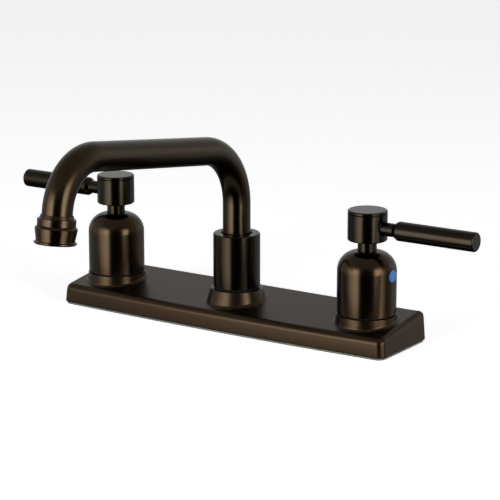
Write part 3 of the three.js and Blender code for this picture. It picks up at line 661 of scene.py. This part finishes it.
# ---------------------------------------------------------------- spout tip and aerator
# The tube ends in a turned ring. The aerator's waisted housing screws into it, with two
# small notches for a wrench, and holds a plastic insert under a fine steel screen.
ring_from_bend = 4.2
outlet_top = second_centre + second_bend * Vector(
    (0, -math.cos(outlet_lean), math.sin(outlet_lean)))
tip = (outlet_top + ring_from_bend * outlet_way, (-math.degrees(outlet_lean), 0, 0))
ring_radius, ring_low, ring_thread, thread_end = 11.7, -4.2, 9.8, -8.2
water_way, water_top = 7.82, -3.2
adapter = turned("tip_ring_turned", [
    (tube_hole, 2.2), (tube_hole + 0.3, 2.2), (tube_hole + 0.9, 0), (ring_radius, 0),
    (ring_radius, ring_low), (ring_thread, ring_low), (ring_thread, thread_end),
    (water_way, thread_end), (water_way, water_top), (tube_hole, water_top), (tube_hole, 2.2)],
    128, *tip)
soften(adapter, 0.3, 3)
smooth(adapter)
dress(adapter, turned_bronze, "spout", "spout_tip_adapter")

housing_bore, shoulder, waist, rim, outlet_bore = 10.1, 12.95, 11.8, 12.9, 8.8
housing_top, shoulder_low, waist_high, waist_low = -4.6, -5.8, -12.8, -13.4
rim_high, rim_low, seat_high = -14.0, -15.4, -13.6
notch_turn, notch_radius, notch_height = math.radians(31), 12.1, -11.2
notch_wide, notch_deep = 2.4, 2.0
housing = turned("aerator_housing_turned", [
    (housing_bore, housing_top), (shoulder - 1, housing_top), (shoulder, shoulder_low),
    (waist, waist_high), (waist, waist_low), (rim, rim_high), (rim, rim_low + 0.7),
    (rim - 0.7, rim_low), (outlet_bore, rim_low), (outlet_bore, seat_high),
    (housing_bore, seat_high), (housing_bore, housing_top)], 128)
for sign in (-1, 1):
    bpy.ops.object.select_all(action="DESELECT")
    bpy.ops.mesh.primitive_cube_add(
        size=1, rotation=(0, 0, notch_turn),
        location=Vector((-sign * notch_radius * math.sin(notch_turn),
                         sign * notch_radius * math.cos(notch_turn), notch_height)) * MM,
        scale=Vector((notch_wide, notch_deep, notch_wide)) * MM)
    notch = start("notch")
    bpy.ops.object.mode_set(mode="OBJECT")
    cut(housing, notch)
soften(housing, 0.25, 3, 20)
put(housing, *tip)
smooth(housing)
dress(housing, turned_bronze, "spout", "aerator_housing")

# ---------------------------------------------------------------- pieces inside, from the frame
# Valve bodies, nuts, stems and crossover tubes are turned brass, the discs are alumina,
# the seals are rubber and the slip washers acetal. They keep the frame's shapes.
# Lapped alumina is near white and evenly dull, and moulded acetal is milky with flow marks.
ceramic = mottled("alumina_lapped", 900.0, 2.0, "#e9e7df", "#f4f2ec", Roughness=0.25)
acetal = mottled("acetal_moulded", 250.0, 2.0, "#dad8d1", "#e6e4de", Roughness=0.5)
inside = {"seal": rubber, "oring": rubber, "washer": rubber, "disc": ceramic, "bearing": acetal,
          "thrust": acetal, "insert": acetal, "screw": steel, "screen": steel}
for name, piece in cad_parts.items():
    kept = [material for word, material in inside.items() if word in name]
    piece.data.materials.clear()
    piece.data.materials.append(kept[-1] if kept else brass)

# ---------------------------------------------------------------- floor
# Matt white paper in the plane of the deck. The camera sees it glow a little, as paper does
# that is lit from all round. Near the object, polished metal mirrors a painted glow with painted
# shade in its place.
bpy.ops.object.select_all(action="DESELECT")
bpy.ops.mesh.primitive_plane_add(size=8, location=(0, 0, -0.02 * MM))
floor = start("floor")
bpy.ops.object.mode_set(mode="OBJECT")
paper = bpy.data.materials.new("paper_matt_white")
paper.use_nodes = True
paper.node_tree.nodes.clear()
rays = node(paper, "LightPath")
sheet = node(paper, "BsdfDiffuse", {"Color": linear("#e8e8e8")})
glow = node(paper, "Emission", {"Color": linear("#ffffff"), "Strength": 0.75})
both = node(paper, "AddShader", {0: sheet.outputs[0], 1: glow.outputs[0]})
lit = node(paper, "MixShader", {0: rays.outputs["Is Camera Ray"], 1: sheet.outputs[0],
                                2: both.outputs[0]})
# metal mirrors a painted glow at the plate's foot, with painted contact shade next to the plate, and
# further in front the studio dimmed to a fifth; past both, beside and behind the object it mirrors
# the studio clearly
place = node(paper, "SeparateXYZ", {"Vector": node(paper, "TexCoord").outputs["Object"]})
to_back = place.outputs["Y"]
to_back_left = node(paper, "Math", {0: to_back, 1: place.outputs["X"]},
                    operation="SUBTRACT").outputs[0]
# painted contact shade: the mirrored glow darkens within 6 mm of the object, where the plate would
# shade the paper
painted_contact_shade = node(paper, "AmbientOcclusion", {"Distance": 6 * MM})
painted_foot_glow = node(paper, "Emission", {"Color": painted_contact_shade.outputs["Color"], "Strength": 0.55})
dim = node(paper, "BsdfTransparent", {"Color": (0.2, 0.2, 0.2, 1)})
clear = node(paper, "BsdfTransparent")
mirrored = painted_foot_glow
for way, near, far, beyond in ((to_back, -62, -82, dim), (to_back, -108, -130, clear),
                               (to_back_left, 90, 110, clear), (to_back, -25, -20, clear)):
    edge = node(paper, "MapRange", {"Value": way, "From Min": near * MM, "From Max": far * MM})
    mirrored = node(paper, "MixShader", {0: edge.outputs[0], 1: mirrored.outputs[0],
                                         2: beyond.outputs[0]})
seen = node(paper, "MixShader", {0: rays.outputs["Is Glossy Ray"], 1: lit.outputs[0],
                                 2: mirrored.outputs[0]})
node(paper, "OutputMaterial", {"Surface": seen.outputs[0]})
floor.data.materials.append(paper)

# ---------------------------------------------------------------- studio
# Two broad soft boxes, left and right of the camera, in a room that is dark in front of the
# object and pale at its sides and behind it. The bronze shows little but what it mirrors.


def brightness(owner, way, stops):
    """Brightness along a way through a lamp or the room, from its (place, brightness) stops."""
    low, high = stops[0][0], stops[-1][0]
    spread = node(owner, "MapRange", {"Value": way, "From Min": low, "From Max": high})
    return node(owner, "ValToRGB", {"Fac": spread.outputs["Result"]},
                [((place - low) / (high - low), (bright, bright, bright, 1))
                 for place, bright in stops]).outputs["Color"]


def soft_box(name, turn_from_camera, width, radiance, across_stops):
    """Cloth covered lamp that reaches from under the deck to well over the spout. Its
    brightness falls off towards its edges, which gives the bronze its soft bands."""
    distance, tall = 1.5, 1.9
    lamp = bpy.data.objects.new(name, bpy.data.lights.new(name, "AREA"))
    bpy.context.scene.collection.objects.link(lamp)
    lamp.data.shape = "RECTANGLE"
    lamp.data.size, lamp.data.size_y = width, tall
    lamp.data.energy = radiance * math.pi * width * tall
    turn = view_turn + math.radians(turn_from_camera)
    away = Vector((math.sin(turn), -math.cos(turn), 0))
    lamp.location = distance * away
    lamp.rotation_euler = away.to_track_quat("Z", "Y").to_euler()
    lamp.data.use_nodes = True
    on_cloth = node(lamp.data, "SeparateXYZ", {
        "Vector": node(lamp.data, "NewGeometry").outputs["Parametric"]})
    sideways_light = brightness(lamp.data, on_cloth.outputs["X"], across_stops)
    upward_light = brightness(lamp.data, on_cloth.outputs["Y"], [
        (0, 0.0), (0.13, 0.3), (0.24, 0.6), (0.34, 0.8), (0.5, 1.0), (0.76, 1.0), (0.88, 0.5),
        (1, 0.0)])
    cloth = node(lamp.data, "MixRGB", {"Fac": 1.0, "Color1": sideways_light,
                                       "Color2": upward_light}, blend_type="MULTIPLY")
    feed(lamp.data.node_tree.nodes["Emission"], {"Color": cloth.outputs[0], "Strength": 1.0})


soft_box("soft_box_left", -56, 1.50, 8.6, [
    (0, 0.0), (0.08, 0.1), (0.16, 0.2), (0.26, 0.45), (0.45, 0.65), (0.65, 1.0), (0.88, 1.0),
    (0.96, 0.5), (1, 0.0)])
soft_box("soft_box_right", 50.5, 1.35, 9.5, [
    (0, 0.0), (0.05, 0.55), (0.13, 1.0), (0.42, 1.0), (0.58, 0.6), (0.8, 0.15), (1, 0.0)])

room = bpy.data.worlds.new("studio")
bpy.context.scene.world = room
room.use_nodes = True
room.node_tree.nodes.clear()
ray = node(room, "TexCoord").outputs["Generated"]
to_camera, to_right = (
    node(room, "VectorMath", {0: ray, 1: tuple(way)}, operation="DOT_PRODUCT").outputs["Value"]
    for way in (to_lens, level))
angle = node(room, "Math", {0: to_right, 1: to_camera}, operation="ARCTAN2")
degrees = node(room, "Math", {0: angle.outputs[0], 1: 180 / math.pi}, operation="MULTIPLY")
height = node(room, "SeparateXYZ", {"Vector": ray}).outputs["Z"]
# round the room, in degrees from the camera: dark in front, pale at the sides and behind
walls = brightness(room, degrees.outputs[0], [
    (-180, 0.58), (-150, 0.52), (-128, 0.60), (-100, 1.05), (-82, 1.6), (-70, 0.6), (-45, 0.12),
    (-27, 0.04), (24, 0.04), (45, 0.12), (60, 0.35), (76, 0.55), (92, 0.75), (112, 1.40),
    (128, 0.65), (154, 0.48), (180, 0.58)])
# up the walls, by the sine of the height, and then the dim ceiling
up_walls = brightness(room, height, [
    (-1, 0.0), (-0.8, 0.03), (-0.5, 0.15), (-0.3, 0.5), (-0.15, 0.64), (0, 1.0), (0.25, 1.1),
    (0.42, 0.7), (0.7, 0.1), (1, 0.0)])
ceiling = brightness(room, height, [(-1, 0.0), (0.3, 0.0), (0.6, 0.52), (1, 0.55)])
wall_light = node(room, "MixRGB", {"Fac": 1.0, "Color1": walls, "Color2": up_walls},
                  blend_type="MULTIPLY")
all_light = node(room, "MixRGB", {"Fac": 1.0, "Color1": wall_light.outputs[0],
                                  "Color2": ceiling}, blend_type="ADD")
in_metal = node(room, "Background", {"Color": all_light.outputs[0], "Strength": 1.0})
plain = node(room, "Background", {"Color": linear("#ffffff"), "Strength": 0.12})
white = node(room, "Background", {"Color": linear("#ffffff"), "Strength": 1.0})
room_rays = node(room, "LightPath")
unseen = node(room, "MixShader", {0: room_rays.outputs["Is Glossy Ray"], 1: plain.outputs[0],
                                  2: in_metal.outputs[0]})
shown = node(room, "MixShader", {0: room_rays.outputs["Is Camera Ray"], 1: unseen.outputs[0],
                                 2: white.outputs[0]})
node(room, "OutputWorld", {"Surface": shown.outputs[0]})

bpy.context.scene.view_settings.view_transform = "Standard"
